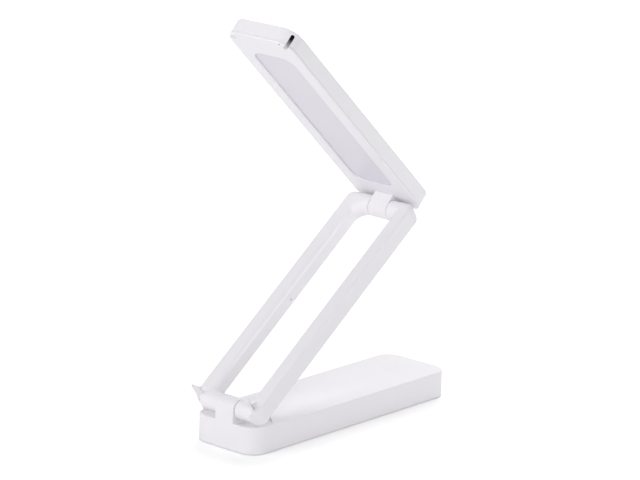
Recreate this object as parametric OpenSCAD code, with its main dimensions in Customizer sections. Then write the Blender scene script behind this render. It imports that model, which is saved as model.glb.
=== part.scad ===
// Folding desk lamp: a base, an open arm and a lighting head of one outline, on two friction hinges.
// The origin is at the middle of the underside. X runs across, the lower hinge is at the -Y end.

/* [Sections] */
// Length of each of the three sections
section_l = 170; // [150:1:200]
// Width of each of the three sections
section_w = 48; // [46:1:60]
// Corner radius of the sections, seen from above
corner_r = 9.8; // [9:0.1:11]
// Height of the base, from the table to its top
base_h = 16; // [15.5:0.5:22]
// Thickness of the arm, and so the diameter of every knuckle
arm_t = 11.6; // [11.2:0.1:12.4]
// Width of each arm rail
rail_w = 9.7; // [9.2:0.1:10.2]
// Thickness of the head, its front frame included
head_t = 10.3; // [9.8:0.1:13]
// Length by which the head stays short of the arm at its free end
head_short = 0.7; // [0:0.1:1]

/* [Pose] */
// Angle of the arm above the base, 0 when folded
arm_open = 36.8; // [0:0.1:90]
// Angle between the arm and the head, 0 when folded
head_open = 80.3; // [0:0.1:90]

/* [Hinges] */
// Distance of each hinge axis from the end of its sections
hinge_inset = 6.8; // [6.6:0.1:7.2]
// Gap between the folded arm and the top of the base
base_gap = 1.4; // [1.2:0.1:2.4]
// Gap between the arm and the lit face of the folded head
head_gap = 1; // [0.8:0.1:2.4]
// Width of the centre knuckle on the base and on the head
knuckle_w = 13.6; // [13:0.1:16]
// Offset of the centre knuckles to the right, which leaves room for the bush
knuckle_off = 0.7; // [0:0.1:1.2]
// Diameter of the steel friction shaft in each hinge
shaft_d = 4; // [3:0.1:5]
// Length of the steel friction shaft
shaft_l = 16; // [12:0.5:17]
// Outer diameter of the hollow bush that passes the lead
bush_d = 5; // [4.6:0.1:6]
// Length of the hollow bush
bush_l = 8; // [7:0.5:9]
// Wall of the hollow bush
bush_wall = 0.8; // [0.5:0.1:0.9]
// Thickness of each friction washer
washer_t = 0.2; // [0.2:0.05:0.6]
// Distance of each friction washer's edge from the outside of the knuckles
washer_set = 0.8; // [0.5:0.1:1.5]

/* [Base] */
// Wall of the base shell
base_wall = 2.2; // [1.6:0.1:3]
// Radius of the base shell's edges
base_edge = 0.8; // [0.4:0.1:1.2]
// Thickness of the bottom cover
cover_t = 2.4; // [2:0.1:3]
// Height of the bottom cover above the table
pad_proud = 0.4; // [0.3:0.1:1]
// Thickness of the anti-slip pad
pad_t = 0.8; // [0.6:0.1:1.2]
// Distance of the pad's edge from the outline of the base
pad_inset = 5; // [4:0.5:8]
// Depth of the shallow recess in the base's top at the hinge
recess_d = 1; // [0.5:0.1:1.2]
// Radius of that recess about the middle of the base's front edge
recess_r = 27.7; // [26:0.1:30]
// Width of the rim left round that recess
recess_rim = 1.7; // [1.2:0.1:2.4]
// Diameter of the touch key
key_d = 10.5; // [8:0.5:14]
// Distance of the touch key from the far end of the base
key_inset = 24.6; // [20:0.1:32]

/* [Arm] */
// Radius of the rails' outer edges
rail_edge = 0.8; // [0.3:0.1:1.2]
// Radius of the rails' inner edges
rail_round = 3.6; // [3:0.1:4]
// Inner radius of the elbow between the left rail and its upper knuckle
elbow_r = 9.1; // [7:0.1:9.5]
// Inner radius of the elbow between the left rail and its lower knuckle
low_elbow_r = 3.7; // [2:0.1:4.5]
// Thickness of the corner walls round the lower hinge
cheek_t = 1.2; // [0.9:0.1:1.6]
// How far those walls stand out round the lower knuckles
cheek_proud = 0.8; // [0.3:0.1:1]
// Angle that those walls turn round their corners
cheek_angle = 58; // [50:1:64]
// Wall of the arm rails
rail_wall = 1.5; // [1.2:0.1:1.8]
// Thickness of the rail covers
rail_cover_t = 1.2; // [0.8:0.1:1.6]
// Width of the cross bar behind the lower hinge
bar_w = 4; // [3:0.1:4.4]
// Distance of the closing horns' tips from the back wall of the folded head
horn_clear = 1; // [0.8:0.1:3]
// Thickness of the closing horns
horn_t = 1.2; // [1:0.1:1.4]
// Direction of each horn from its corner's centre
horn_angle = 37; // [30:1:50]
// Distance of the horns' outer edges from the outline
horn_set = 0.4; // [0.2:0.1:0.8]
// Radius of the horns' tips
horn_tip = 0.6; // [0.3:0.1:0.9]

/* [Head] */
// Wall of the head shell
head_wall = 1.8; // [1.4:0.1:2.4]
// Radius of the head shell's edges
head_edge = 0.9; // [0.4:0.1:1.2]
// Thickness of the front frame's outer edge
frame_edge_t = 1.1; // [1:0.1:1.6]
// Thickness of the front frame round the lit panel
frame_t = 1.8; // [1.7:0.1:2.4]
// Radius of the front frame's outer edge
frame_edge = 0.6; // [0.4:0.1:0.9]
// Distance of the lit panel from each side of the head
panel_side = 9; // [8.5:0.1:11]
// Depth of the lit panel behind the frame
panel_set = 0.8; // [0.3:0.1:1]
// Offset of the lit panel to the right
panel_off = 0.4; // [0:0.1:0.6]
// Distance of the lit panel from the free end of the head
panel_inset = 17.7; // [17:0.1:24]
// Distance of the lit panel from the hinge end of the head
panel_hinge_inset = 22.5; // [20:0.1:26]
// Corner radius of the lit panel
panel_r = 7.5; // [5:0.1:8]
// Thickness of the diffuser
diffuser_t = 1; // [0.8:0.1:1.5]
// Thickness of the light guide
guide_t = 2; // [1.5:0.1:2.5]
// Number of light-emitting diodes along the guide
led_count = 14; // [8:1:20]

/* [Clearances] */
// Gap round pieces that fit in a casing
fit_gap = 0.15; // [0.1:0.05:0.3]
// Radial running gap of shafts and bushes
run_gap = 0.05; // [0.03:0.01:0.08]
// Gap beside the washers
washer_gap = 0.05; // [0.04:0.01:0.1]
// Gap between the arm's cross bar and the lower centre knuckle
bar_gap = 0.5; // [0.3:0.1:1]
// Gap at the seam between the head shell and its frame
seam_gap = 0.1; // [0.06:0.02:0.2]

/* [Hidden] */
$fn = 64;

// One overrun serves every cut
over = 1;

// Hinge axes and the space between the knuckles
arm_span = section_l - 2 * hinge_inset;
knuckle_r = arm_t / 2;
washer_d = arm_t - 2 * washer_set;
hinge_rise = knuckle_r + base_gap;
head_rise = knuckle_r + head_gap;
axis_y = hinge_inset - section_l / 2;
axis_z = base_h + hinge_rise;
knuckle_left = knuckle_w / 2 - knuckle_off;
knuckle_right = knuckle_w / 2 + knuckle_off;
knuckle_space = washer_t + 2 * washer_gap;
rail_x = section_w / 2 - rail_w;
channel_w = rail_w - rail_wall - rail_round;

// Inside of the base
lead_r = 1.1;
rib_t = 1.2;
cover_z = pad_proud + cover_t;
base_top_t = base_wall;
base_roof = base_h - base_top_t;
boss_d = 5.2;
boss_inset = 7.6;
boss_end = 16;
fuse = 0.5;
screw_d = 2.2;
screw_head_d = 3.8;
screw_head_t = 1.1;
screw_l = 7.5;
boss_gap = 0.8;
board_l = 38;
board_t = 1.2;
board_post = 1.2;
board_gap = 4.65;
board = [section_w - 2 * boss_inset - boss_d - 2 * boss_gap, board_l, board_t];
board_z = cover_z + board_post;
board_y = section_l / 2 - base_wall - fit_gap - board.y / 2;

// The ballast lies between the bosses at the hinge and the board, the battery on it under the lead
ballast_side = 10;
ballast_t = 2.5;
ballast_front = boss_end + boss_d / 2 + 3 * boss_gap - section_l / 2;
ballast_back = board_y - board.y / 2 - board_gap;
ballast = [section_w - 2 * ballast_side, ballast_back - ballast_front, ballast_t];
ballast_y = (ballast_front + ballast_back) / 2;
battery_side = 7;
battery_front = 14;
battery_back = 30;
battery_gap = 0.35;
battery = [section_w - 2 * battery_side, ballast.y - battery_front - battery_back,
           base_roof - rib_t - 2 * lead_r - fit_gap - battery_gap - cover_z - ballast.z];
battery_y = ballast_y + (battery_front - battery_back) / 2;
port = [7.6, 5.2, 2.7];
port_r = 1.1;
port_wall = 0.4;
key_y = section_l / 2 - key_inset;
key_flange_t = 0.8;
key_flange_w = 1.4;
contact_d = 6;

// Leads
lead_bend = 2.6;
lead_gap = 0.3;
lead_meet_x = lead_bend + 2 * lead_gap;
rail_lead_x = section_w / 2 - rail_wall - channel_w / 2;
shaft_x = lead_r + lead_gap;
head_lead_turn = 8;
head_lead_lap = 3;
base_lead_lap = 5;

// Horns, measured from the centre of a corner
horn_h = head_rise + head_t - head_wall - horn_clear;
horn_in = 5.6;
horn_slope = 3.6;
slot_gap = 0.5;
pocket_d = 3;
pocket_l = 4.6;
pocket_in = 3.4;
pocket_rim = 1.5;

// How far the elbows lie inside the surface of the knuckles that they carry on
elbow_tuck = 0.05;

// Small dimple in the inner side of each rail, near the middle of its length
dimple_d = 1.6;
dimple_t = 0.9;
dimple_up = 1.3;
dimple_n = -0.7;

// Inside of the head
seam_z = head_rise + frame_edge_t;
head_back = head_rise + head_t;
head_roof = head_back - head_wall;
panel_w = section_w - 2 * panel_side;
head_l = section_l - head_short;
head_y = hinge_inset - head_l / 2;
panel_l = head_l - panel_inset - panel_hinge_inset;
panel_y = head_y + (panel_inset - panel_hinge_inset) / 2;
lap = 1.2;
reflector_t = 0.3;
stack_z = head_rise + frame_t;
guide_z = stack_z + diffuser_t;
reflector_z = guide_z + guide_t;
led = [1.2, 2.8, 1.6];
led_board_t = 1;
led_x = panel_off + panel_w / 2 + lap + fit_gap;

// Small blind hole in the front frame, beside the right slot
pin_d = 1;
pin_t = 0.8;
pin_in = 1.9;
pin_angle = 71;

// Colours
white = [0.93, 0.93, 0.94];
grey = [0.45, 0.46, 0.48];
steel = [0.72, 0.73, 0.75];
brass = [0.80, 0.65, 0.32];
green = [0.10, 0.38, 0.22];
milk = [0.84, 0.84, 0.87];
silver = [0.80, 0.81, 0.83];
wire = [0.15, 0.15, 0.16];

// Rounded rectangle, centred
module outline(w, l, r) {
    square([w - 2 * r, l], center = true);
    square([w, l - 2 * r], center = true);
    for (sx = [-1, 1], sy = [-1, 1])
        translate([sx * (w / 2 - r), sy * (l / 2 - r)]) circle(r);
}

// Flat plate of that outline, from z0 to z1
module plate(w, l, r, z0, z1) {
    translate([0, 0, z0]) linear_extrude(z1 - z0) outline(w, l, r);
}

// Section through the side of a box whose top edge is rounded
module side_section(r, t, edge) {
    square([r, t - edge]);
    square([r - edge, t]);
    intersection() {
        translate([r - edge, t - edge]) circle(edge);
        square([r, t]);
    }
}

// Box of the rounded outline whose section, from the corners' centres outwards, is the child
module swept_box(w, l, r, t) {
    translate([r - w / 2, r - l / 2]) cube([w - 2 * r, l - 2 * r, t]);
    for (s = [0, 180]) rotate(s) {
        translate([w / 2 - r, l / 2 - r]) rotate([90, 0, 0]) linear_extrude(l - 2 * r) children();
        translate([r - w / 2, l / 2 - r]) rotate([90, 0, 90]) linear_extrude(w - 2 * r) children();
        for (q = [0, 1]) mirror([q, 0, 0])
            translate([w / 2 - r, l / 2 - r]) rotate_extrude(angle = 90) children();
    }
}

// Box of the rounded outline with a rounded top edge
module soft_box(w, l, r, t, edge) {
    swept_box(w, l, r, t) side_section(r, t, edge);
}

// Round bar along X between two places
module bar_x(d, x0, x1) {
    translate([x0, 0, 0]) rotate([0, 90, 0]) cylinder(d = d, h = x1 - x0);
}

// Centre knuckle of a hinge: a block down to depth z0, flush with the end of its section
module knuckle_block(z0) {
    flush = hinge_inset - knuckle_r;
    translate([-knuckle_left, 0, 0]) rotate([90, 0, 90]) linear_extrude(knuckle_w) {
        circle(knuckle_r);
        translate([-flush, 0]) circle(knuckle_r);
        translate([-flush, -knuckle_r]) square([flush, 2 * knuckle_r]);
        translate([-hinge_inset, z0]) square([hinge_inset + knuckle_r, -z0]);
    }
}

// Bores of a centre knuckle: the shaft on the right, the bush on the left, the lead down the middle
module knuckle_bores(z0) {
    bar_x(shaft_d + 2 * run_gap, -lead_r, knuckle_right + over);
    bar_x(bush_d + 2 * run_gap, -knuckle_left - over, lead_r);
    translate([0, 0, z0]) cylinder(r = bush_d / 2, h = -z0);
}

module at_arm() {
    translate([0, axis_y, axis_z]) rotate([arm_open, 0, 0]) children();
}

module at_head() {
    at_arm() translate([0, arm_span, 0]) rotate([-head_open, 0, 0]) children();
}

// Places of the four screw bosses
module at_bosses() {
    for (sx = [-1, 1], sy = [-1, 1])
        translate([sx * (section_w / 2 - boss_inset), sy * (section_l / 2 - boss_end), 0]) children();
}

module base_shell() {
    color(white) difference() {
        union() {
            difference() {
                translate([0, 0, pad_proud])
                    soft_box(section_w, section_l, corner_r, base_h - pad_proud, base_edge);
                plate(section_w - 2 * base_wall, section_l - 2 * base_wall, corner_r - base_wall,
                      pad_proud - over, base_roof);
                intersection() {
                    translate([0, -section_l / 2, base_h - recess_d]) cylinder(r = recess_r, h = recess_d + over);
                    plate(section_w - 2 * recess_rim, section_l - 2 * recess_rim, corner_r - recess_rim,
                          base_roof, base_h + 2 * over);
                }
            }
            translate([0, axis_y, axis_z]) knuckle_block(base_roof - axis_z - rib_t);
            translate([0, 0, cover_z]) at_bosses() cylinder(d = boss_d, h = base_roof - cover_z + fuse);
        }
        translate([0, axis_y, axis_z]) knuckle_bores(base_roof - axis_z - rib_t - over);
        translate([0, 0, cover_z - over]) at_bosses()
            cylinder(d = screw_d - 2 * fit_gap, h = screw_l - screw_head_t + over);
        translate([0, key_y, base_roof - over]) cylinder(d = key_d + 2 * fit_gap, h = base_top_t + 2 * over);
        translate([0, section_l / 2 - base_wall - over, board_z + board.z + port.z / 2]) rotate([-90, 0, 0])
            linear_extrude(base_wall + 2 * over) outline(port.x + 2 * fit_gap, port.z + 2 * fit_gap, port_r + fit_gap);
    }
}

module base_cover() {
    w = section_w - 2 * base_wall - 2 * fit_gap;
    l = section_l - 2 * base_wall - 2 * fit_gap;
    color(white) difference() {
        union() {
            plate(w, l, corner_r - base_wall - fit_gap, pad_proud, cover_z);
            for (sx = [-1, 1], sy = [-1, 1])
                translate([sx * (board.x / 2 - boss_d / 2), board_y + sy * (board.y / 2 - boss_d / 2), cover_z - over])
                    cylinder(d = screw_head_d, h = board_z - cover_z + over);
        }
        plate(section_w - 2 * pad_inset + 2 * fit_gap, section_l - 2 * pad_inset + 2 * fit_gap,
              corner_r - pad_inset + fit_gap, pad_proud - over, pad_t);
        at_bosses() {
            translate([0, 0, pad_t - over]) cylinder(d = screw_head_d + 2 * fit_gap, h = screw_head_t + fit_gap + over);
            cylinder(d = screw_d + 2 * fit_gap, h = cover_z + over);
        }
    }
}

module anti_slip_pad() {
    color(grey) plate(section_w - 2 * pad_inset, section_l - 2 * pad_inset, corner_r - pad_inset, 0, pad_t);
}

module cover_screws() {
    color(steel) at_bosses() translate([0, 0, pad_t + fit_gap]) {
        cylinder(d = screw_head_d, h = screw_head_t);
        cylinder(d = screw_d - 4 * fit_gap, h = screw_l);
    }
}

module ballast_plate() {
    color(grey) plate_block(ballast, ballast_y, cover_z);
}

module battery_pack() {
    color(silver) plate_block(battery, battery_y, cover_z + ballast.z);
}

// Block of a given size, centred on X, standing at height z0
module plate_block(size, y, z0) {
    translate([-size.x / 2, y - size.y / 2, z0]) cube(size);
}

module control_board() {
    color(green) plate_block(board, board_y, board_z);
}

module charging_port() {
    color(steel) translate([0, section_l / 2 - fit_gap, board_z + board.z + port.z / 2]) rotate([90, 0, 0])
        difference() {
            linear_extrude(port.y) outline(port.x, port.z, port_r);
            translate([0, 0, -over]) linear_extrude(port.y)
                outline(port.x - 2 * port_wall, port.z - 2 * port_wall, port_r - port_wall);
        }
}

module touch_key() {
    color(white) translate([0, key_y, base_roof - key_flange_t]) {
        cylinder(d = key_d + 2 * key_flange_w, h = key_flange_t);
        cylinder(d = key_d, h = base_top_t + key_flange_t);
    }
}

module touch_contact() {
    z0 = board_z + board.z;
    color(grey) translate([0, key_y, z0]) cylinder(d = contact_d, h = base_roof - key_flange_t - z0);
}

// Quarter bend of a lead in the XY plane, round the origin from the given direction
module bend(from) {
    rotate(from) rotate_extrude(angle = 90) translate([lead_bend, 0]) circle(lead_r);
}

// The same bend in the YZ plane
module bend_yz(from) {
    rotate([90, 0, 90]) bend(from);
}

// Straight of a lead along +Y
module straight(l) {
    rotate([-90, 0, 0]) cylinder(r = lead_r, h = l);
}

// Lead from inside a bush, down the middle of a knuckle to the given depth and on along Y to y1
module knuckle_lead(depth, y1) {
    bar_x(2 * lead_r, -lead_meet_x + lead_gap, -lead_bend);
    translate([-lead_bend, 0, -lead_bend]) rotate([90, 0, 0]) bend(0);
    translate([0, 0, lead_bend - depth]) cylinder(r = lead_r, h = depth - 2 * lead_bend);
    translate([0, lead_bend, lead_bend - depth]) bend_yz(180);
    translate([0, lead_bend, -depth]) straight(y1 - lead_bend);
}

module base_lead() {
    z1 = base_roof - rib_t - lead_r - fit_gap;
    y1 = board_y - board.y / 2 + base_lead_lap - lead_bend;
    z0 = board_z + board.z;
    color(wire) {
        translate([0, axis_y, axis_z]) knuckle_lead(axis_z - z1, y1 - axis_y);
        translate([0, y1, z1 - lead_bend]) bend_yz(0);
        translate([0, y1 + lead_bend, z0]) cylinder(r = lead_r, h = z1 - lead_bend - z0);
    }
}

// Arm, in its own frame: X across, Y along, Z towards its front, origin on the lower axis
module arm_frame() {
    color(white) at_arm() difference() {
        union() {
            intersection() {
                translate([0, arm_span / 2, 0])
                    plate(section_w, section_l, corner_r, -horn_h - over, horn_h + over);
                union() {
                    for (s = [0, 1]) mirror([s, 0, 0]) {
                        rail();
                        for (y = [0, arm_span]) translate([0, y, 0])
                            bar_x(arm_t, (s == 0 ? knuckle_right : knuckle_left) + knuckle_space, rail_x + rail_round);
                        cheek();
                        horn();
                    }
                    elbow(elbow_r, arm_span - knuckle_r - elbow_r, 90);
                    elbow(low_elbow_r, knuckle_r + low_elbow_r, 180);
                }
            }
            translate([-rail_x - over, knuckle_r + bar_gap, -knuckle_r]) rotate([90, 0, 90])
                linear_extrude(2 * rail_x + 2 * over) polygon([[0, 0], [bar_w, 0], [0, knuckle_r]]);
        }
        for (s = [0, 1]) mirror([s, 0, 0]) {
            rail_channel();
            horn_pocket();
            translate([rail_x - over, arm_span / 2 + dimple_up, dimple_n]) rotate([0, 90, 0])
                cylinder(d = dimple_d, h = dimple_t + over);
        }
        for (y = [0, arm_span]) translate([0, y, 0]) {
            bar_x(shaft_d + 2 * run_gap, 0, shaft_l + shaft_x + run_gap);
            bar_x(bush_d + 2 * run_gap, -section_w / 2 + rail_wall + lead_bend, 0);
        }
        translate([-rail_lead_x - lead_r - fit_gap, -lead_r - fit_gap, -lead_r - fit_gap])
            cube([lead_bend + lead_r + fit_gap, arm_span + 2 * lead_r + 2 * fit_gap, 2 * lead_r + 2 * fit_gap]);
    }
}

// Right rail: a bar with rounded edges and round ends about both axes
module rail() {
    module half() {
        translate([0, rail_round]) square([knuckle_r, rail_w - rail_round - rail_edge]);
        translate([0, rail_round]) square([knuckle_r - rail_edge, rail_w - rail_round]);
        square([knuckle_r - rail_round, rail_w]);
        translate([knuckle_r - rail_edge, rail_w - rail_edge]) circle(rail_edge);
        intersection() {
            translate([knuckle_r - rail_round, rail_round]) circle(rail_round);
            square([knuckle_r, rail_w]);
        }
    }
    translate([rail_x, 0, 0]) {
        for (s = [0, 1]) mirror([0, 0, s])
            rotate([90, 0, 180]) linear_extrude(arm_span) rotate(90) half();
        for (y = [0, arm_span]) translate([0, y, 0]) rotate([0, 90, 0]) rotate_extrude() half();
    }
}

// Elbow that carries a left knuckle round into its rail, as far as the space beside the centre knuckle
module elbow(r, y, from) {
    intersection() {
        translate([r - rail_x, y, 0]) rotate(from) rotate_extrude(angle = 90)
            translate([r + knuckle_r, 0]) circle(knuckle_r - elbow_tuck);
        translate([-section_w / 2, -hinge_inset, -knuckle_r])
            cube([section_w / 2 - knuckle_left - knuckle_space, section_l, arm_t]);
    }
}

// Corner wall that carries on the rail's outer side round the lower knuckle
module cheek() {
    intersection() {
        translate([0, 0, -knuckle_r]) linear_extrude(arm_t) difference() {
            translate([section_w / 2 - corner_r, corner_r - hinge_inset]) circle(corner_r);
            translate([section_w / 2 - corner_r, corner_r - hinge_inset]) circle(corner_r - cheek_t);
        }
        bar_x(arm_t + 2 * cheek_proud, section_w / 2 - corner_r * (1 - cos(cheek_angle)), section_w / 2);
    }
}

// Frame of the plate that a horn stands on: X away from the corner's centre, Y towards the rail
module at_horn() {
    translate([section_w / 2 - corner_r, corner_r - hinge_inset, 0]) rotate(-horn_angle) children();
}

// Closing horn: a thin plate across the corner with a sloping top
module horn() {
    at_horn() translate([0, horn_t / 2, 0]) rotate([90, 0, 0]) linear_extrude(horn_t)
    {
        r = corner_r - horn_set;
        polygon([[horn_in, 0], [r, 0], [r, horn_h - horn_tip], [r - horn_tip, horn_h], [horn_in, horn_h - horn_slope]]);
        translate([r - horn_tip, horn_h - horn_tip]) circle(horn_tip);
    }
}

// Sloping pocket in the arm's front, behind a horn
module horn_pocket() {
    intersection() {
        at_horn() translate([pocket_in, 0, 0]) rotate([90, 0, 90]) linear_extrude(corner_r)
            polygon([[horn_t / 2, knuckle_r - pocket_d], [horn_t / 2, horn_h + over], [horn_t / 2 + pocket_l, horn_h + over],
                     [horn_t / 2 + pocket_l, knuckle_r]]);
        translate([0, arm_span / 2, 0])
            plate(section_w - 2 * pocket_rim, section_l - 2 * pocket_rim, corner_r - pocket_rim, 0, horn_h + 2 * over);
    }
}

// Channel in the back of a rail, with the seat of its cover
module rail_channel() {
    y0 = corner_r;
    translate([rail_x + rail_round, y0, -knuckle_r - over])
        cube([channel_w, arm_span - 2 * y0, rail_cover_t + over]);
    translate([rail_x + rail_round + fit_gap * 2, y0 + rail_wall, -knuckle_r])
        cube([channel_w - fit_gap * 4, arm_span - 2 * y0 - 2 * rail_wall, arm_t - rail_wall]);
}

module rail_covers() {
    y0 = corner_r + fit_gap;
    color(white) at_arm() for (s = [0, 1]) mirror([s, 0, 0])
        translate([rail_x + rail_round + fit_gap, y0, -knuckle_r])
            cube([channel_w - 2 * fit_gap, arm_span - 2 * y0, rail_cover_t]);
}

// Lead in the left rail, from bush to bush
module arm_lead() {
    x = lead_bend - rail_lead_x;
    color(wire) at_arm() {
        for (y = [0, arm_span]) translate([0, y, 0]) bar_x(2 * lead_r, x, -lead_meet_x);
        translate([x, lead_bend, 0]) bend(180);
        translate([x, arm_span - lead_bend, 0]) bend(90);
        translate([-rail_lead_x, lead_bend, 0]) straight(arm_span - 2 * lead_bend);
    }
}

module hinge_shaft() {
    color(steel) bar_x(shaft_d, shaft_x, shaft_x + shaft_l);
}

module hinge_bush() {
    x0 = -knuckle_left - bush_l / 2;
    color(brass) difference() {
        bar_x(bush_d, x0, x0 + bush_l);
        bar_x(bush_d - 2 * bush_wall, x0 - over, x0 + bush_l + over);
    }
}

module hinge_washers() {
    x0 = knuckle_right + washer_gap;
    x1 = -knuckle_left - washer_gap;
    color(steel) {
        difference() {
            bar_x(washer_d, x0, x0 + washer_t);
            bar_x(shaft_d + 2 * run_gap, x0 - over, x0 + over);
        }
        difference() {
            bar_x(washer_d, x1 - washer_t, x1);
            bar_x(bush_d + 2 * run_gap, x1 - over, x1 + over);
        }
    }
}

module lower_hinge_shaft() { at_arm() hinge_shaft(); }
module lower_hinge_bush() { at_arm() hinge_bush(); }
module lower_friction_washers() { at_arm() hinge_washers(); }
module upper_hinge_shaft() { at_arm() translate([0, arm_span, 0]) hinge_shaft(); }
module upper_hinge_bush() { at_arm() translate([0, arm_span, 0]) hinge_bush(); }
module upper_friction_washers() { at_arm() translate([0, arm_span, 0]) hinge_washers(); }

// Slots in the head's free corners that take the horns when the lamp is folded
module horn_slots() {
    w = horn_t + 2 * slot_gap;
    top = horn_h + slot_gap - w / 2;
    for (s = [0, 1]) mirror([s, 0, 0]) translate([0, -arm_span, 0]) at_horn()
        translate([horn_in - slot_gap, 0, 0]) rotate([90, 0, 90]) linear_extrude(corner_r) {
            translate([-w / 2, 0]) square([w, top]);
            translate([0, top]) circle(w / 2);
        }
}

// Head, in its folded frame: Y back along the arm, Z away from the arm, origin on the upper axis
module head_shell() {
    color(white) at_head() difference() {
        union() {
            difference() {
                translate([0, head_y, seam_z + seam_gap])
                    soft_box(section_w, head_l, corner_r, head_back - seam_z - seam_gap, head_edge);
                translate([0, head_y, 0])
                    plate(section_w - 2 * head_wall, head_l - 2 * head_wall, corner_r - head_wall,
                          seam_z - over, head_roof);
            }
            rotate([180, 0, 0]) knuckle_block(-head_roof - fuse);
            press_ribs();
            for (s = [0, 1]) mirror([s, 0, 0]) slot_wall();
        }
        rotate([180, 0, 0]) {
            knuckle_bores(-head_roof);
            translate([-lead_r - fit_gap, 0, -head_roof])
                cube([2 * lead_r + 2 * fit_gap, knuckle_r + over, 2 * lead_r + 2 * fit_gap]);
        }
        horn_slots();
    }
}

// Ribs under the head's roof that hold the lighting stack down
module press_ribs() {
    z0 = reflector_z + reflector_t + run_gap;
    for (k = [-1, 0, 1])
        translate([panel_off - panel_w / 2, panel_y + k * panel_l / 3 - rib_t / 2, z0])
            cube([panel_w, rib_t, head_roof - z0 + fuse]);
}

// Wall inside the head that closes a horn's slot off from the lighting stack
module slot_wall() {
    w = horn_t + 2 * slot_gap + 2 * rib_t;
    intersection() {
        translate([0, -arm_span, 0]) at_horn()
            translate([horn_in - slot_gap - rib_t, -w / 2, stack_z + fit_gap])
                cube([corner_r, w, head_roof + fuse - stack_z - fit_gap]);
        translate([0, head_y, 0]) plate(section_w - head_wall, head_l - head_wall, corner_r - head_wall / 2, 0, head_back);
    }
}

module head_frame() {
    inner = head_wall + fit_gap;
    color(white) at_head() difference() {
        union() {
            translate([0, head_y, seam_z]) mirror([0, 0, 1])
                soft_box(section_w, head_l, corner_r, seam_z - head_rise, frame_edge);
            translate([0, head_y, 0]) plate(section_w - 2 * inner, head_l - 2 * inner, corner_r - inner,
                                            head_rise, stack_z);
        }
        translate([panel_off, panel_y, 0]) plate(panel_w, panel_l, panel_r, head_rise - over, stack_z + over);
        translate([-knuckle_left - fit_gap, -knuckle_r - fit_gap, head_rise - over])
            cube([knuckle_w + 2 * fit_gap, knuckle_r + section_w, frame_t + 2 * over]);
        horn_slots();
        translate([section_w / 2 - corner_r, head_y - head_l / 2 + corner_r, head_rise - over]) rotate(-pin_angle)
            translate([corner_r - pin_in, 0, 0]) cylinder(d = pin_d, h = pin_t + over);
    }
}

// Sheet of the lighting stack, one lap wider than the opening all round
module stack_sheet(z0, t) {
    translate([panel_off, panel_y, 0]) plate(panel_w + 2 * lap, panel_l + 2 * lap, panel_r + lap, z0, z0 + t);
}

// Stepped diffuser: its raised middle fills the frame's opening
module diffuser_panel() {
    color(milk) at_head() {
        stack_sheet(stack_z, diffuser_t);
        translate([panel_off, panel_y, 0]) plate(panel_w - 2 * fit_gap, panel_l - 2 * fit_gap, panel_r - fit_gap,
                                                 head_rise + panel_set, stack_z + diffuser_t);
    }
}

module light_guide() { color(milk, 0.6) at_head() stack_sheet(guide_z, guide_t); }
module reflector_sheet() { color("white") at_head() stack_sheet(reflector_z, reflector_t); }

module led_board() {
    l = panel_l - 2 * panel_r;
    color(green) at_head() translate([led_x + led.x, panel_y - l / 2, stack_z])
        cube([led_board_t, l, guide_t + diffuser_t + led_board_t]);
}

module leds() {
    pitch = (panel_l - 2 * panel_r) / led_count;
    color("gold") at_head() for (k = [0 : led_count - 1])
        translate([led_x, panel_y + (k + 0.5 - led_count / 2) * pitch - led.y / 2, guide_z + (guide_t - led.z) / 2]) cube(led);
}

module head_lead() {
    depth = head_roof - lead_r - fit_gap;
    x1 = led_x + led.x + led_board_t / 2;
    y1 = head_lead_turn;
    y2 = panel_r + head_lead_lap - panel_y - panel_l / 2;
    color(wire) at_head() rotate([180, 0, 0]) {
        knuckle_lead(depth, y1);
        translate([lead_bend, y1, -depth]) bend(90);
        translate([0, y1 + lead_bend, -depth]) bar_x(2 * lead_r, lead_bend, x1 - lead_bend);
        translate([x1 - lead_bend, y1 + 2 * lead_bend, -depth]) bend(270);
        translate([x1, y1 + 2 * lead_bend, -depth]) straight(y2 - y1 - 2 * lead_bend);
    }
}

base_shell();
base_cover();
anti_slip_pad();
cover_screws();
ballast_plate();
battery_pack();
control_board();
charging_port();
touch_key();
touch_contact();
base_lead();
arm_frame();
rail_covers();
lower_hinge_shaft();
lower_hinge_bush();
lower_friction_washers();
upper_hinge_shaft();
upper_hinge_bush();
upper_friction_washers();
arm_lead();
head_shell();
head_frame();
diffuser_panel();
light_guide();
reflector_sheet();
led_board();
leds();
head_lead();
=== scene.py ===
import bpy
import bmesh
import math
from mathutils import Matrix, Vector


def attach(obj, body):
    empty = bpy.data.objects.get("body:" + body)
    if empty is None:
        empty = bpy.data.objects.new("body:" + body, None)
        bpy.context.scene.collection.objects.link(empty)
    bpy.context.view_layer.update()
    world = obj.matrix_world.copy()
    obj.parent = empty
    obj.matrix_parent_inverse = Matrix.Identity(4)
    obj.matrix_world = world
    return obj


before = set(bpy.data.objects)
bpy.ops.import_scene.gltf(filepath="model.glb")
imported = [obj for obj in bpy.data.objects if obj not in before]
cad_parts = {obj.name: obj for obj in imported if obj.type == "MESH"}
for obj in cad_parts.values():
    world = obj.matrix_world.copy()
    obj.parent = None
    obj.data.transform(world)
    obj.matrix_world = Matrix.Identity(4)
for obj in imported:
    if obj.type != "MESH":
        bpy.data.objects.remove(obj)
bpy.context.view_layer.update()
print("frame loaded:", len(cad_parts), "nodes")

mm = 0.001
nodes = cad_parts


# small helpers for node trees

def addNode(tree, kind, x=0, y=0, **values):
    # each value goes to the node's own setting of that name, or else to its socket
    node = tree.nodes.new(kind)
    node.location = (x, y)
    for key, value in values.items():
        if hasattr(node, key):
            setattr(node, key, value)
        else:
            node.inputs[key].default_value = value
    return node


def feed(tree, value, socket):
    # a link from another node's output, or a plain value
    if isinstance(value, bpy.types.NodeSocket):
        tree.links.new(value, socket)
    else:
        socket.default_value = value


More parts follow.
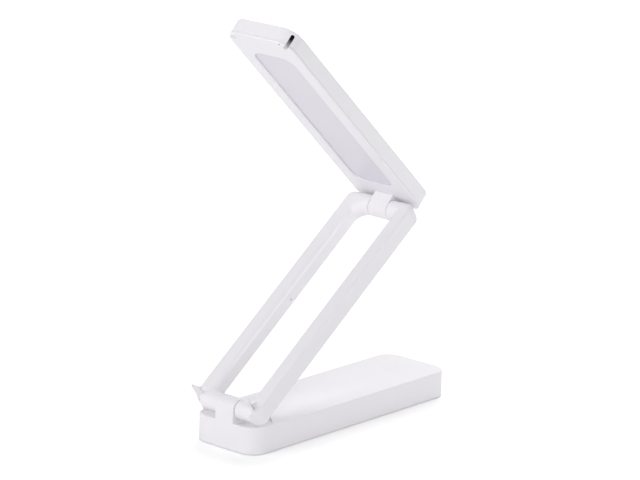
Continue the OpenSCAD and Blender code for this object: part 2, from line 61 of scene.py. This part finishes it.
def mathNode(tree, kind, x, y, *values):
    node = addNode(tree, "ShaderNodeMath", x, y, operation=kind)
    for value, socket in zip(values, node.inputs):
        feed(tree, value, socket)
    return node.outputs[0]


def mapNode(tree, value, x, y, start=0.0, end=1.0, low=0.0, high=1.0, smooth=False):
    # start to end of the value becomes low to high
    node = addNode(tree, "ShaderNodeMapRange", x, y)
    if smooth:
        node.interpolation_type = "SMOOTHSTEP"
    feed(tree, value, node.inputs["Value"])
    feed(tree, start, node.inputs["From Min"])
    feed(tree, end, node.inputs["From Max"])
    feed(tree, low, node.inputs["To Min"])
    feed(tree, high, node.inputs["To Max"])
    return node.outputs["Result"]


def noiseNode(tree, vector, x, y, **values):
    node = addNode(tree, "ShaderNodeTexNoise", x, y, **values)
    feed(tree, vector, node.inputs["Vector"])
    return node


def scaleColor(tree, color, factor, x, y):
    node = addNode(tree, "ShaderNodeVectorMath", x, y, operation="SCALE")
    feed(tree, color, node.inputs[0])
    feed(tree, factor, node.inputs["Scale"])
    return node.outputs[0]


def mixColors(tree, factor, first, second, x, y):
    # a Mix node's colours are its sockets 6 and 7 in and 2 out
    node = addNode(tree, "ShaderNodeMix", x, y, data_type="RGBA")
    feed(tree, factor, node.inputs["Factor"])
    feed(tree, first, node.inputs[6])
    feed(tree, second, node.inputs[7])
    return node.outputs[2]


def seenRays(tree, x, y):
    # 1 for what the camera sees, straight or by way of a glossy or clear surface
    path = addNode(tree, "ShaderNodeLightPath", x, y)
    seen = mathNode(tree, "MAXIMUM", x + 200, y,
                    path.outputs["Is Camera Ray"], path.outputs["Is Glossy Ray"])
    return mathNode(tree, "MAXIMUM", x + 400, y, seen, path.outputs["Is Transmission Ray"])


def newGroup(name, inputs, outputs):
    group = bpy.data.node_groups.new(name, "ShaderNodeTree")
    for label, kind, value in inputs:
        socket = group.interface.new_socket(name=label, in_out="INPUT", socket_type=kind)
        if value is not None:
            socket.default_value = value
    for label, kind in outputs:
        group.interface.new_socket(name=label, in_out="OUTPUT", socket_type=kind)
    given = addNode(group, "NodeGroupInput", -900)
    made = addNode(group, "NodeGroupOutput", 700)
    return group, given.outputs, made.inputs


finishSockets = [
    ("Color", "NodeSocketColor"),
    ("Roughness", "NodeSocketFloat"),
    ("Normal", "NodeSocketVector"),
]
maskSocket = [("Mask", "NodeSocketFloat")]


# finishes that several materials share

grain = {
    "detail": 3.0,
    "height": 0.0002,
    "edgeSamples": 6,
    "driftScale": 28.0,
    "driftDetail": 4.0,
}


def plasticGrain():
    # fine spark-eroded grain of a moulded housing, with a slow drift in tone and gloss
    group, given, made = newGroup("plasticGrain", [
        ("Vector", "NodeSocketVector", None),
        ("Color", "NodeSocketColor", (0.8, 0.8, 0.8, 1)),
        ("Grain Scale", "NodeSocketFloat", 1800.0),
        ("Grain Depth", "NodeSocketFloat", 0.05),
        ("Tone Drift", "NodeSocketFloat", 0.02),
        ("Roughness Low", "NodeSocketFloat", 0.4),
        ("Roughness High", "NodeSocketFloat", 0.5),
        ("Edge Radius", "NodeSocketFloat", 0.0004),
    ], finishSockets)
    fine = noiseNode(group, given["Vector"], -600, 200, Detail=grain["detail"], Roughness=0.6)
    feed(group, given["Grain Scale"], fine.inputs["Scale"])
    slow = noiseNode(group, given["Vector"], -600, -100,
                     Scale=grain["driftScale"], Detail=grain["driftDetail"], Roughness=0.55)
    edge = addNode(group, "ShaderNodeBevel", -600, 420, samples=grain["edgeSamples"])
    feed(group, given["Edge Radius"], edge.inputs["Radius"])
    bump = addNode(group, "ShaderNodeBump", 100, 300, Distance=grain["height"])
    feed(group, given["Grain Depth"], bump.inputs["Strength"])
    feed(group, fine.outputs["Fac"], bump.inputs["Height"])
    feed(group, edge.outputs["Normal"], bump.inputs["Normal"])
    feed(group, bump.outputs["Normal"], made["Normal"])
    centred = mathNode(group, "SUBTRACT", -380, -100, slow.outputs["Fac"], 0.5)
    drift = mathNode(group, "MULTIPLY", -200, -100, centred, given["Tone Drift"])
    factor = mathNode(group, "ADD", -20, -100, drift, 1.0)
    feed(group, scaleColor(group, given["Color"], factor, 200, -60), made["Color"])
    gloss = mapNode(group, slow.outputs["Fac"], 200, -300,
                    low=given["Roughness Low"], high=given["Roughness High"])
    feed(group, gloss, made["Roughness"])
    return group


streaks = {
    "stretch": (60, 2400, 2400),
    "height": 0.0001,
    "roughSpread": 0.2,
    "toneSpread": 0.16,
    "toneLow": 0.92,
}


def brushedMetal():
    # turned or rolled steel and brass: fine streaks along one direction
    group, given, made = newGroup("brushedMetal", [
        ("Vector", "NodeSocketVector", None),
        ("Color", "NodeSocketColor", (0.6, 0.6, 0.6, 1)),
        ("Streaks", "NodeSocketFloat", 0.2),
        ("Roughness", "NodeSocketFloat", 0.35),
    ], finishSockets)
    stretch = addNode(group, "ShaderNodeMapping", -700, 0, Scale=streaks["stretch"])
    feed(group, given["Vector"], stretch.inputs["Vector"])
    streak = noiseNode(group, stretch.outputs["Vector"], -500, 0, Scale=1.0, Detail=3.0)
    bump = addNode(group, "ShaderNodeBump", 100, 200, Distance=streaks["height"])
    feed(group, given["Streaks"], bump.inputs["Strength"])
    feed(group, streak.outputs["Fac"], bump.inputs["Height"])
    feed(group, bump.outputs["Normal"], made["Normal"])
    rough = mathNode(group, "MULTIPLY_ADD", 100, -120,
                     streak.outputs["Fac"], streaks["roughSpread"], given["Roughness"])
    feed(group, rough, made["Roughness"])
    tone = mathNode(group, "MULTIPLY_ADD", -200, -300,
                    streak.outputs["Fac"], streaks["toneSpread"], streaks["toneLow"])
    feed(group, scaleColor(group, given["Color"], tone, 200, -300), made["Color"])
    return group


def sectionAxes(group, vector, look):
    # a section's own directions: across, along and through it
    turn = addNode(group, "ShaderNodeMapping", -720, 200,
                   Rotation=(look["turn"], 0, 0), Location=look["shift"])
    feed(group, vector, turn.inputs["Vector"])
    axes = addNode(group, "ShaderNodeSeparateXYZ", -540, 200)
    feed(group, turn.outputs["Vector"], axes.inputs["Vector"])
    return axes.outputs


# where the painted highlight lies along the arm's rails
railHighlight = {
    "turn": math.radians(-36.8),
    "shift": (0, 0.04872, -0.065421),
    "level": 4.2 * mm,
    "half": 1.1 * mm,
    "inner": 15.2 * mm,
    "low": (0.014, 0.035),
    "high": (0.143, 0.128),
    "strength": 0.7,
}


def paintedRailHighlight():
    # a painted highlight: a light line painted along a rail's rounded front edge where it runs into
    # its inner face, standing in for the sheen that edge catches
    group, given, made = newGroup("paintedRailHighlight", [
        ("Vector", "NodeSocketVector", None),
        ("Strength", "NodeSocketFloat", railHighlight["strength"]),
    ], maskSocket)
    x, y, z = sectionAxes(group, given["Vector"], railHighlight)
    off = mathNode(group, "ABSOLUTE", -220, 100,
                   mathNode(group, "SUBTRACT", -380, 100, z, railHighlight["level"]))
    line = mapNode(group, off, -60, 100, railHighlight["half"], 0.0, smooth=True)
    low = mapNode(group, y, -60, 300, *railHighlight["low"], smooth=True)
    high = mapNode(group, y, -60, 500, *railHighlight["high"], smooth=True)
    inner = mathNode(group, "LESS_THAN", -60, -100,
                     mathNode(group, "ABSOLUTE", -380, -100, x), railHighlight["inner"])
    length = mathNode(group, "MULTIPLY", 160, 400, low, high)
    inside = mathNode(group, "MULTIPLY", 160, 0, line, inner)
    shape = mathNode(group, "MULTIPLY", 320, 100, inside, length)
    feed(group, mathNode(group, "MULTIPLY", 480, 100, shape, given["Strength"]), made["Mask"])
    return group


# where the painted shade lies in the head's slots and pin hole
hollows = {
    "turn": math.radians(43.5),
    "shift": (0, 0.046337, -0.117163),
    "cornerX": 14.2 * mm,
    "cornerY": -153.4 * mm,
    "slotAngle": math.radians(37),
    "slotHalf": 1.14 * mm,
    "slotStart": 5 * mm,
    "slotTop": 13.7 * mm,
    "slotLevel": 8.8 * mm,
    "slotSoftness": 4.6 * mm,
    "pinX": 16.77 * mm,
    "pinY": -160.17 * mm,
    "pinRadius": 0.54 * mm,
    "pinLevel": 6.84 * mm,
    "pinFloor": 7.8 * mm,
}


def paintedHollowShade():
    # painted shade in the horns' slots and the pin hole of the head, found in the head's own
    # directions: their walls lie deep and catch hardly any light, so their shade is painted dark
    # into the colour
    group, given, made = newGroup("paintedHollowShade", [
        ("Vector", "NodeSocketVector", None),
        ("Slot Level", "NodeSocketFloat", hollows["slotLevel"]),
        ("Slot Softness", "NodeSocketFloat", hollows["slotSoftness"]),
    ], maskSocket)
    x, y, z = sectionAxes(group, given["Vector"], hollows)

    # both slots at once: out from the corner's centre, and sideways from the slot's middle
    cosTurn, sinTurn = math.cos(hollows["slotAngle"]), math.sin(hollows["slotAngle"])
    side = mathNode(group, "ABSOLUTE", -380, 300, x)
    dx = mathNode(group, "SUBTRACT", -220, 300, side, hollows["cornerX"])
    dy = mathNode(group, "SUBTRACT", -220, 200, y, hollows["cornerY"])
    along = mathNode(group, "SUBTRACT", 60, 380,
                     mathNode(group, "MULTIPLY", -60, 400, dx, cosTurn),
                     mathNode(group, "MULTIPLY", -60, 340, dy, sinTurn))
    across = mathNode(group, "ADD", 60, 240,
                      mathNode(group, "MULTIPLY", -60, 260, dx, sinTurn),
                      mathNode(group, "MULTIPLY", -60, 200, dy, cosTurn))

    # the slot's top is round, so its distance there is measured from the last straight level
    overTop = mathNode(group, "SUBTRACT", 60, 160, z, hollows["slotTop"])
    above = mathNode(group, "MAXIMUM", 140, 160, overTop, 0.0)
    squared = mathNode(group, "ADD", 260, 260,
                       mathNode(group, "MULTIPLY", 180, 300, across, across),
                       mathNode(group, "MULTIPLY", 220, 200, above, above))
    inside = mathNode(group, "MULTIPLY", 420, 380,
                      mathNode(group, "GREATER_THAN", 200, 400, along, hollows["slotStart"]),
                      mathNode(group, "LESS_THAN", 340, 300, squared, hollows["slotHalf"] ** 2))
    darkest = mathNode(group, "ADD", 60, 60, given["Slot Level"], given["Slot Softness"])
    depth = mapNode(group, z, 200, 120, given["Slot Level"], darkest)
    slot = mathNode(group, "MULTIPLY", 560, 300, inside, depth)

    # the pin hole, from just inside the lit face to its floor
    px = mathNode(group, "SUBTRACT", -220, 0, x, hollows["pinX"])
    py = mathNode(group, "SUBTRACT", -220, -80, y, hollows["pinY"])
    reach = mathNode(group, "ADD", 60, -40,
                     mathNode(group, "MULTIPLY", -60, 0, px, px),
                     mathNode(group, "MULTIPLY", -60, -80, py, py))
    within = mathNode(group, "MULTIPLY", 340, -160,
                      mathNode(group, "GREATER_THAN", 200, -120, z, hollows["pinLevel"]),
                      mathNode(group, "LESS_THAN", 200, -200, z, hollows["pinFloor"]))
    pin = mathNode(group, "MULTIPLY", 480, -80,
                   mathNode(group, "LESS_THAN", 200, -40, reach, hollows["pinRadius"] ** 2), within)
    feed(group, mathNode(group, "MAXIMUM", 600, 0, slot, pin), made["Mask"])
    return group


grainGroup = plasticGrain()
metalGroup = brushedMetal()
hollowShadeGroup = paintedHollowShade()
railHighlightGroup = paintedRailHighlight()


# materials

def linear(r, g, b):
    # colour given as the eye reads it, 0 to 255, turned into light
    parts = (c / 255 for c in (r, g, b))
    return tuple(((c + 0.055) / 1.055) ** 2.4 if c > 0.04 else c / 12.92 for c in parts) + (1.0,)


def groupMaterial(name, group, values, shaderValues):
    material = bpy.data.materials.new(name)
    material.use_nodes = True
    tree = material.node_tree
    shader = tree.nodes["Principled BSDF"]
    for key, value in shaderValues.items():
        shader.inputs[key].default_value = value
    place = addNode(tree, "ShaderNodeTexCoord", -900, 0)
    effect = addNode(tree, "ShaderNodeGroup", -500, 0, node_tree=group)
    feed(tree, place.outputs["Object"], effect.inputs["Vector"])
    for key, value in values.items():
        effect.inputs[key].default_value = value
    for out, into in (("Color", "Base Color"), ("Roughness", "Roughness"), ("Normal", "Normal")):
        feed(tree, effect.outputs[out], shader.inputs[into])
    material.diffuse_color = values["Color"]
    return material


whitePlastic = {
    "color": linear(240, 238, 242),
    "grainScale": 2200.0,
    "grainDepth": 0.06,
    "drift": 0.012,
    "roughLow": 0.36,
    "roughHigh": 0.44,
    "edge": 0.15 * mm,
    "ior": 1.46,
    "gloss": 0.4,
}
softRubber = {
    "color": linear(96, 97, 101),
    "grainScale": 900.0,
    "grainDepth": 0.25,
    "drift": 0.1,
    "roughLow": 0.75,
    "roughHigh": 0.9,
    "edge": 0.3 * mm,
    "ior": 1.5,
    "gloss": 0.3,
}
milkPanel = {
    "color": linear(225, 221, 230),
    "shade": linear(218, 214, 224),
    "dotScale": 420.0,
    "dotScatter": 0.15,
    "dotEdge": 0.6,
    "dotShare": 0.35,
    "cloudScale": 18.0,
    "cloudDetail": 2.0,
    "cloudShare": 0.3,
    "roughLow": 0.35,
    "roughHigh": 0.45,
    "ior": 1.49,
    "gloss": 0.4,
}
# colour of the painted shade in the head's slots and pin hole
paintedHollowShadeColor = linear(34, 33, 36)
# colour of the painted highlight on the arm's rails
paintedHighlightColor = linear(255, 254, 255)


def moulded(name, look, **changes):
    v = dict(look, **changes)
    return groupMaterial(name, grainGroup, {
        "Color": v["color"],
        "Grain Scale": v["grainScale"],
        "Grain Depth": v["grainDepth"],
        "Tone Drift": v["drift"],
        "Roughness Low": v["roughLow"],
        "Roughness High": v["roughHigh"],
        "Edge Radius": v["edge"],
    }, {"IOR": v["ior"], "Specular IOR Level": v["gloss"]})


def metal(name, color, roughness, streakDepth=0.2):
    return groupMaterial(name, metalGroup, {
        "Color": color,
        "Roughness": roughness,
        "Streaks": streakDepth,
    }, {"Metallic": 1.0})


def masked(material, group, shade):
    # lays a second, painted tone over the finish where the group's mask says: painted shade in the
    # head's hollows, a painted highlight on the arm's rails
    tree = material.node_tree
    effect = next(n for n in tree.nodes if n.type == "GROUP")
    place = next(n for n in tree.nodes if n.type == "TEX_COORD")
    mask = addNode(tree, "ShaderNodeGroup", -500, -300, node_tree=group)
    feed(tree, place.outputs["Object"], mask.inputs["Vector"])
    mixed = mixColors(tree, mask.outputs["Mask"], effect.outputs["Color"], shade, -200, -100)
    feed(tree, mixed, tree.nodes["Principled BSDF"].inputs["Base Color"])
    return material


def diffuserMaterial(name, look):
    # milky acrylic over the dotted light guide: the dots only just show through
    material = bpy.data.materials.new(name)
    material.use_nodes = True
    tree = material.node_tree
    shader = tree.nodes["Principled BSDF"]
    shader.inputs["IOR"].default_value = look["ior"]
    shader.inputs["Specular IOR Level"].default_value = look["gloss"]
    place = addNode(tree, "ShaderNodeTexCoord", -1100, 0)
    dots = addNode(tree, "ShaderNodeTexVoronoi", -700, 0,
                   Scale=look["dotScale"], Randomness=look["dotScatter"])
    feed(tree, place.outputs["Object"], dots.inputs["Vector"])
    cloud = noiseNode(tree, place.outputs["Object"], -700, -250,
                      Scale=look["cloudScale"], Detail=look["cloudDetail"])
    dotTone = mapNode(tree, dots.outputs["Distance"], -480, 0,
                      end=look["dotEdge"], high=look["dotShare"])
    share = mathNode(tree, "MULTIPLY_ADD", -300, -100,
                     cloud.outputs["Fac"], look["cloudShare"], dotTone)
    mixed = mixColors(tree, share, look["color"], look["shade"], -120, 0)
    feed(tree, mixed, shader.inputs["Base Color"])
    rough = mapNode(tree, cloud.outputs["Fac"], -300, -350,
                    low=look["roughLow"], high=look["roughHigh"])
    feed(tree, rough, shader.inputs["Roughness"])
    material.diffuse_color = look["color"]
    return material


housingWhite = moulded("housingWhite", whitePlastic)
# head shell and frame get painted shade in their slots and pin hole
headWhite = masked(moulded("headWhite", whitePlastic), hollowShadeGroup, paintedHollowShadeColor)
frameWhite = masked(moulded("frameWhite", whitePlastic, color=linear(238, 236, 241)),
                    hollowShadeGroup, paintedHollowShadeColor)
# the arm gets a painted highlight along its rails
armWhite = masked(moulded("armWhite", whitePlastic), railHighlightGroup, paintedHighlightColor)
coverWhite = moulded("coverWhite", whitePlastic, grainDepth=0.12, roughLow=0.5, roughHigh=0.62)
keyWhite = moulded("keyWhite", whitePlastic, color=linear(239, 237, 241),
                   roughLow=0.38, roughHigh=0.46)
panelMilk = diffuserMaterial("milkyPanel", milkPanel)
padRubber = moulded("padRubber", softRubber)
wireBlack = moulded("wireBlack", softRubber, color=linear(38, 38, 40))
foamGrey = moulded("foamGrey", softRubber, color=linear(78, 78, 82))
shaftSteel = metal("shaftSteel", linear(196, 198, 201), 0.22)
washerSteel = metal("washerSteel", linear(236, 237, 240), 0.5, 0.1)
screwSteel = metal("screwSteel", linear(186, 189, 194), 0.3)
ballastSteel = metal("ballastSteel", linear(140, 141, 145), 0.45, 0.35)
bushBrass = metal("bushBrass", linear(208, 172, 96), 0.25)
pouchFoil = metal("pouchFoil", linear(200, 202, 206), 0.4, 0.5)
boardGreen = moulded("boardGreen", whitePlastic, color=linear(28, 98, 58),
                     grainScale=700.0, grainDepth=0.1, drift=0.15)
boardWhite = moulded("boardWhite", whitePlastic, color=linear(236, 236, 230), grainDepth=0.05)
phosphor = moulded("phosphor", whitePlastic, color=linear(240, 222, 130),
                   roughLow=0.2, roughHigh=0.3)
guideClear = moulded("guideClear", whitePlastic, color=linear(225, 230, 233),
                     grainScale=900.0, roughLow=0.1, roughHigh=0.16)
filmWhite = moulded("filmWhite", whitePlastic, color=linear(244, 244, 244),
                    roughLow=0.3, roughHigh=0.4)
print("materials made")

finishes = {
    # base
    "base_shell": housingWhite,
    "base_cover": coverWhite,
    "anti_slip_pad": padRubber,
    "cover_screws": screwSteel,
    "ballast_plate": ballastSteel,
    "battery_pack": pouchFoil,
    "control_board": boardGreen,
    "charging_port": screwSteel,
    "touch_key": keyWhite,
    "touch_contact": foamGrey,
    "base_lead": wireBlack,
    # arm
    "arm_frame": armWhite,
    "rail_covers": coverWhite,
    "lower_hinge_shaft": shaftSteel,
    "lower_hinge_bush": bushBrass,
    "lower_friction_washers": washerSteel,
    "upper_hinge_shaft": shaftSteel,
    "upper_hinge_bush": bushBrass,
    "upper_friction_washers": washerSteel,
    "arm_lead": wireBlack,
    # head
    "head_shell": headWhite,
    "head_frame": frameWhite,
    "diffuser_panel": panelMilk,
    "light_guide": guideClear,
    "reflector_sheet": filmWhite,
    "led_board": boardWhite,
    "leds": phosphor,
    "head_lead": wireBlack,
}
for name, finish in finishes.items():
    for slot in nodes[name].material_slots:
        slot.material = finish
print("solids dressed")


def makeObject(name, bm):
    mesh = bpy.data.meshes.new(name)
    bm.to_mesh(mesh)
    bm.free()
    piece = bpy.data.objects.new(name, mesh)
    bpy.context.scene.collection.objects.link(piece)
    return piece


keySeal = {
    "y": 60.4 * mm,
    "inner": 5.26 * mm,
    "outer": 5.39 * mm,
    "top": 15.96 * mm,
    "depth": 0.5 * mm,
    "steps": 72,
}


def makeKeySeal(look):
    # soft seal that fills the narrow gap round the touch key
    bm = bmesh.new()
    floorZ = look["top"] - look["depth"]
    outline = ((look["inner"], look["top"]), (look["outer"], look["top"]),
               (look["outer"], floorZ), (look["inner"], floorZ))
    corners = [bm.verts.new((x, look["y"], z)) for x, z in outline]
    sides = [bm.edges.new((a, b)) for a, b in zip(corners, corners[1:] + corners[:1])]
    bmesh.ops.spin(bm, geom=corners + sides, cent=(0, look["y"], 0), axis=(0, 0, 1),
                   angle=math.tau, steps=look["steps"], use_merge=True, use_duplicate=False)
    bmesh.ops.recalc_face_normals(bm, faces=bm.faces)
    seal = makeObject("keySeal", bm)
    sealWhite = moulded("sealWhite", whitePlastic, edge=0.02 * mm, roughLow=0.5, roughHigh=0.6)
    seal.data.materials.append(sealWhite)
    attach(seal, "base")


makeKeySeal(keySeal)
print("key seal made")


# floor, lights and camera

floorLook = {
    "size": 30.0,
    "shade": 0.97,
    "roughness": 0.18,
    "gloss": 0.4,
    "footprint": (0.024, 0.085, 0),
    "reach": (0.006, 0.05),
    "lift": (0.17, 0.5),
}


def makeFloor(look):
    bm = bmesh.new()
    bmesh.ops.create_grid(bm, x_segments=1, y_segments=1, size=look["size"])
    floor = makeObject("floor", bm)
    material = bpy.data.materials.new("paleFloor")
    material.use_nodes = True
    tree = material.node_tree
    shader = tree.nodes["Principled BSDF"]
    shader.inputs["Base Color"].default_value = (look["shade"],) * 3 + (1,)
    shader.inputs["Roughness"].default_value = look["roughness"]
    shader.inputs["Specular IOR Level"].default_value = look["gloss"]

    # white away from the lamp, with its shadow and mirror image kept close to the base
    distance = addNode(tree, "ShaderNodeTexCoord", -1300, -600).outputs["Object"]
    steps = (("ABSOLUTE", None), ("SUBTRACT", look["footprint"]),
             ("MAXIMUM", (0, 0, 0)), ("LENGTH", None))
    for i, (kind, second) in enumerate(steps):
        node = addNode(tree, "ShaderNodeVectorMath", -1100 + 160 * i, -600, operation=kind)
        feed(tree, distance, node.inputs[0])
        if second:
            node.inputs[1].default_value = second
        distance = node.outputs["Value" if kind == "LENGTH" else "Vector"]
    amount = mapNode(tree, distance, -440, -600, *look["reach"], *look["lift"], smooth=True)
    lift = mathNode(tree, "MULTIPLY", -300, -450, seenRays(tree, -900, -300), amount)
    glow = addNode(tree, "ShaderNodeEmission", -200, -300)
    feed(tree, lift, glow.inputs["Strength"])
    both = addNode(tree, "ShaderNodeAddShader", 300, 0)
    feed(tree, shader.outputs[0], both.inputs[0])
    feed(tree, glow.outputs[0], both.inputs[1])
    feed(tree, both.outputs[0], tree.nodes["Material Output"].inputs["Surface"])
    floor.data.materials.append(material)


makeFloor(floorLook)

skyLook = {
    "ambient": 0.38,
    "background": 1.0,
}


def makeWorld(look):
    # the camera sees plain white, while the lamp gets a softer light from all sides
    world = bpy.data.worlds.new("studio")
    bpy.context.scene.world = world
    world.use_nodes = True
    tree = world.node_tree
    sky = tree.nodes["Background"]
    level = mapNode(tree, seenRays(tree, -900, 0), -300, 0,
                    low=look["ambient"], high=look["background"])
    feed(tree, level, sky.inputs["Strength"])
    sky.inputs["Color"].default_value = (1, 1, 1, 1)


makeWorld(skyLook)

softLights = {
    # the main light, from beside the camera
    "softFront": {
        "place": (1.2, -1.45, 0.55), "target": (0, 0, 0.1), "size": (0.5, 0.5), "power": 8.0,
    },
    # lights the base's top and throws the shadow forward
    "softBack": {
        "place": (-0.4, 1.3, 1.0), "target": (0, 0, 0.1), "size": (1.2, 1.2), "power": 13.0,
    },
    "softLeft": {
        "place": (-1.2, -1.3, 0.6), "target": (0, 0, 0.1), "size": (1.0, 1.0), "power": 2.0,
    },
    # lifts the base's near end and the lower knuckles
    "softNear": {
        "place": (-0.1, -0.55, 0.5), "target": (-0.02, -0.1, 0), "size": (0.4, 0.4), "power": 1.4,
    },
    # lifts the base's long side
    "softLow": {
        "place": (0.42, 0.32, 0.08), "target": (0, 0.05, 0.04), "size": (0.3, 0.12), "power": 0.4,
    },
}


def areaLight(name, look):
    data = bpy.data.lights.new(name, "AREA")
    data.shape = "RECTANGLE"
    data.size, data.size_y = look["size"]
    data.energy = look["power"]
    light = bpy.data.objects.new(name, data)
    bpy.context.scene.collection.objects.link(light)
    light.location = Vector(look["place"])
    aim = Vector(look["target"]) - light.location
    light.rotation_euler = aim.to_track_quat("-Z", "Y").to_euler()


for name, look in softLights.items():
    areaLight(name, look)

# the photograph's own view, solved from the lamp's three equal sections
photoCamera = {
    "place": (1.2643, -1.4395, 0.6227),
    "right": (0.7445, 0.6670, 0.0277),
    "up": (-0.1938, 0.1762, 0.9651),
    "lens": 194.53,
    "sensor": 36.0,
    "clip": (0.05, 100.0),
}


def makeCamera(look):
    data = bpy.data.cameras.new("photoCamera")
    data.lens = look["lens"]
    data.sensor_width = look["sensor"]
    data.clip_start, data.clip_end = look["clip"]
    camera = bpy.data.objects.new("photoCamera", data)
    bpy.context.scene.collection.objects.link(camera)
    right = Vector(look["right"]).normalized()
    up = Vector(look["up"])
    up = (up - right * up.dot(right)).normalized()
    back = right.cross(up)
    turn = Matrix((right, up, back)).transposed().to_4x4()
    camera.matrix_world = Matrix.Translation(Vector(look["place"])) @ turn
    bpy.context.scene.camera = camera


makeCamera(photoCamera)
bpy.context.scene.view_settings.view_transform = "Standard"
print("studio ready")
